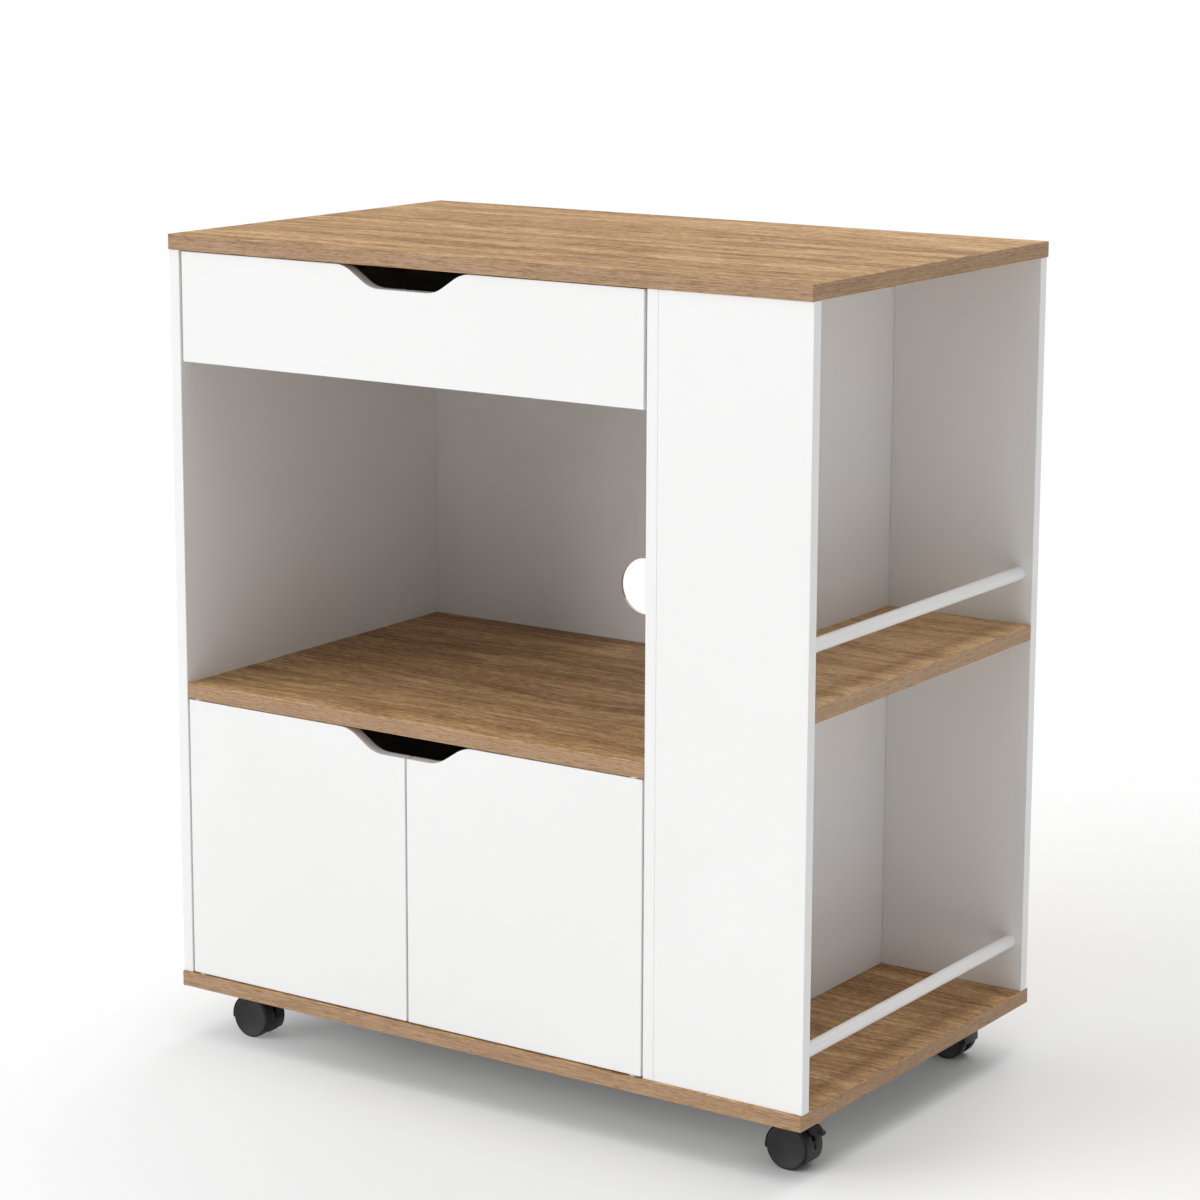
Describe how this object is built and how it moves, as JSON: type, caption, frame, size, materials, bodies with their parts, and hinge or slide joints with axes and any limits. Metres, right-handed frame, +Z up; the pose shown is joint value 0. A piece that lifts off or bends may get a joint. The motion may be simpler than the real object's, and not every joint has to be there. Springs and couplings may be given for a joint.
{
  "type": "microwave stand with drawer",
  "caption": "Wheeled kitchen cabinet in white and oak look: drawer over an open appliance bay, two doors below, open side rack with guard rails, swivelling casters.",
  "frame": {"origin": "middle of the bounding box's footprint, on the floor under the wheels", "axes": "+Z up, front (drawer and doors) towards -Y, open rack towards +X"},
  "size_m": [0.725, 0.439, 0.812],
  "materials": {
    "oak_board": "oak-look foil on particleboard, matt, fine grain",
    "white_board": "white melamine foil on particleboard, satin",
    "white_hardboard": "white-faced hardboard, matt",
    "white_rail": "white powder coat on steel tube stock, satin",
    "beech": "bare grooved beech",
    "zinc_steel": "bright zinc plate",
    "bearing_steel": "polished",
    "white_nylon": "moulded nylon, semi-matt",
    "magnet": "sintered, dull",
    "black_plastic": "moulded nylon, fine grain"
  },
  "bodies": {
    "cabinet": {"top_board": "oak_board", "base_board": "oak_board", "left_side_panel": "white_board", "divider_panel": "white_board", "side_front_panel": "white_board", "side_back_panel": "white_board", "microwave_shelf": "oak_board", "side_shelf": "oak_board", "back_panel": "white_hardboard", "upper_guard_rail": "white_rail", "lower_guard_rail": "white_rail", "cam_locks": "zinc_steel", "cam_bolts": "zinc_steel", "panel_dowels": "beech", "base_screws": "zinc_steel", "left_cabinet_runner": "zinc_steel", "right_cabinet_runner": "zinc_steel", "hardware_screws": "zinc_steel", "pivot_bushes": "white_nylon", "magnetic_catches": "white_nylon", "catch_magnets": "magnet", "caster_plates": "zinc_steel", "caster_screws": "zinc_steel"},
    "drawer": {"drawer_front": "white_board", "drawer_left_side": "white_board", "drawer_right_side": "white_board", "drawer_back": "white_board", "drawer_bottom": "white_hardboard", "drawer_cam_locks": "zinc_steel", "drawer_cam_bolts": "zinc_steel", "drawer_back_screws": "zinc_steel", "left_drawer_runner": "zinc_steel", "right_drawer_runner": "zinc_steel", "drawer_runner_screws": "zinc_steel"},
    "ball_cages": {"runner_ball_cages": "zinc_steel", "runner_balls": "bearing_steel"},
    "left_door": {"left_door": "white_board", "left_door_pins": "zinc_steel", "left_strike_plate": "zinc_steel"},
    "right_door": {"right_door": "white_board", "right_door_pins": "zinc_steel", "right_strike_plate": "zinc_steel"},
    "front_left_swivel": {"front_left_caster_hood": "black_plastic", "front_left_caster_axle": "zinc_steel"},
    "front_left_near_wheel": {"front_left_caster_near_wheel": "black_plastic"},
    "front_left_far_wheel": {"front_left_caster_far_wheel": "black_plastic"},
    "front_left_pedal": {"front_left_brake_pedal": "black_plastic"},
    "front_right_swivel": {"front_right_caster_hood": "black_plastic", "front_right_caster_axle": "zinc_steel"},
    "front_right_near_wheel": {"front_right_caster_near_wheel": "black_plastic"},
    "front_right_far_wheel": {"front_right_caster_far_wheel": "black_plastic"},
    "front_right_pedal": {"front_right_brake_pedal": "black_plastic"},
    "back_right_swivel": {"back_right_caster_hood": "black_plastic", "back_right_caster_axle": "zinc_steel"},
    "back_right_near_wheel": {"back_right_caster_near_wheel": "black_plastic"},
    "back_right_far_wheel": {"back_right_caster_far_wheel": "black_plastic"},
    "back_left_swivel": {"back_left_caster_hood": "black_plastic", "back_left_caster_axle": "zinc_steel"},
    "back_left_near_wheel": {"back_left_caster_near_wheel": "black_plastic"},
    "back_left_far_wheel": {"back_left_caster_far_wheel": "black_plastic"}
  },
  "joints": [
    {"name": "drawer_slide", "type": "slide", "parent": "cabinet", "child": "drawer", "axis": [0, -1, 0], "range_m": [0, 0.215]},
    {"name": "cage_slide", "type": "slide", "parent": "cabinet", "child": "ball_cages", "axis": [0, -1, 0], "range_m": [0, 0.108]},
    {"name": "left_door_hinge", "type": "hinge", "parent": "cabinet", "child": "left_door", "pos_m": [-0.3385, -0.2115, 0.21], "axis": [0, 0, -1], "range_deg": [0, 110]},
    {"name": "right_door_hinge", "type": "hinge", "parent": "cabinet", "child": "right_door", "pos_m": [0.18, -0.2115, 0.21], "axis": [0, 0, 1], "range_deg": [0, 110]},
    {"name": "front_left_swivel", "type": "hinge", "parent": "cabinet", "child": "front_left_swivel", "pos_m": [-0.3155, -0.1725, 0.045], "axis": [0, 0, 1], "continuous": true},
    {"name": "front_left_near_wheel_spin", "type": "hinge", "parent": "front_left_swivel", "child": "front_left_near_wheel", "pos_m": [-0.3033, -0.1725, 0.021], "axis": [0, 1, 0], "continuous": true},
    {"name": "front_left_far_wheel_spin", "type": "hinge", "parent": "front_left_swivel", "child": "front_left_far_wheel", "pos_m": [-0.3033, -0.1725, 0.021], "axis": [0, 1, 0], "continuous": true},
    {"name": "front_left_pedal_hinge", "type": "hinge", "parent": "front_left_swivel", "child": "front_left_pedal", "pos_m": [-0.2895, -0.1725, 0.033], "axis": [0, -1, 0], "range_deg": [0, 15]},
    {"name": "front_right_swivel", "type": "hinge", "parent": "cabinet", "child": "front_right_swivel", "pos_m": [0.3155, -0.1725, 0.045], "axis": [0, 0, 1], "continuous": true},
    {"name": "front_right_near_wheel_spin", "type": "hinge", "parent": "front_right_swivel", "child": "front_right_near_wheel", "pos_m": [0.3277, -0.1725, 0.021], "axis": [0, 1, 0], "continuous": true},
    {"name": "front_right_far_wheel_spin", "type": "hinge", "parent": "front_right_swivel", "child": "front_right_far_wheel", "pos_m": [0.3277, -0.1725, 0.021], "axis": [0, 1, 0], "continuous": true},
    {"name": "front_right_pedal_hinge", "type": "hinge", "parent": "front_right_swivel", "child": "front_right_pedal", "pos_m": [0.3415, -0.1725, 0.033], "axis": [0, -1, 0], "range_deg": [0, 15]},
    {"name": "back_right_swivel", "type": "hinge", "parent": "cabinet", "child": "back_right_swivel", "pos_m": [0.3155, 0.1725, 0.045], "axis": [0, 0, 1], "continuous": true},
    {"name": "back_right_near_wheel_spin", "type": "hinge", "parent": "back_right_swivel", "child": "back_right_near_wheel", "pos_m": [0.3033, 0.1725, 0.021], "axis": [0, 1, 0], "continuous": true},
    {"name": "back_right_far_wheel_spin", "type": "hinge", "parent": "back_right_swivel", "child": "back_right_far_wheel", "pos_m": [0.3033, 0.1725, 0.021], "axis": [0, 1, 0], "continuous": true},
    {"name": "back_left_swivel", "type": "hinge", "parent": "cabinet", "child": "back_left_swivel", "pos_m": [-0.3155, 0.1725, 0.045], "axis": [0, 0, 1], "continuous": true},
    {"name": "back_left_near_wheel_spin", "type": "hinge", "parent": "back_left_swivel", "child": "back_left_near_wheel", "pos_m": [-0.3277, 0.1725, 0.021], "axis": [0, 1, 0], "continuous": true},
    {"name": "back_left_far_wheel_spin", "type": "hinge", "parent": "back_left_swivel", "child": "back_left_far_wheel", "pos_m": [-0.3277, 0.1725, 0.021], "axis": [0, 1, 0], "continuous": true}
  ],
  "couplings": [
    {"joint": "cage_slide", "follows": "drawer_slide", "ratio": 0.5}
  ]
}
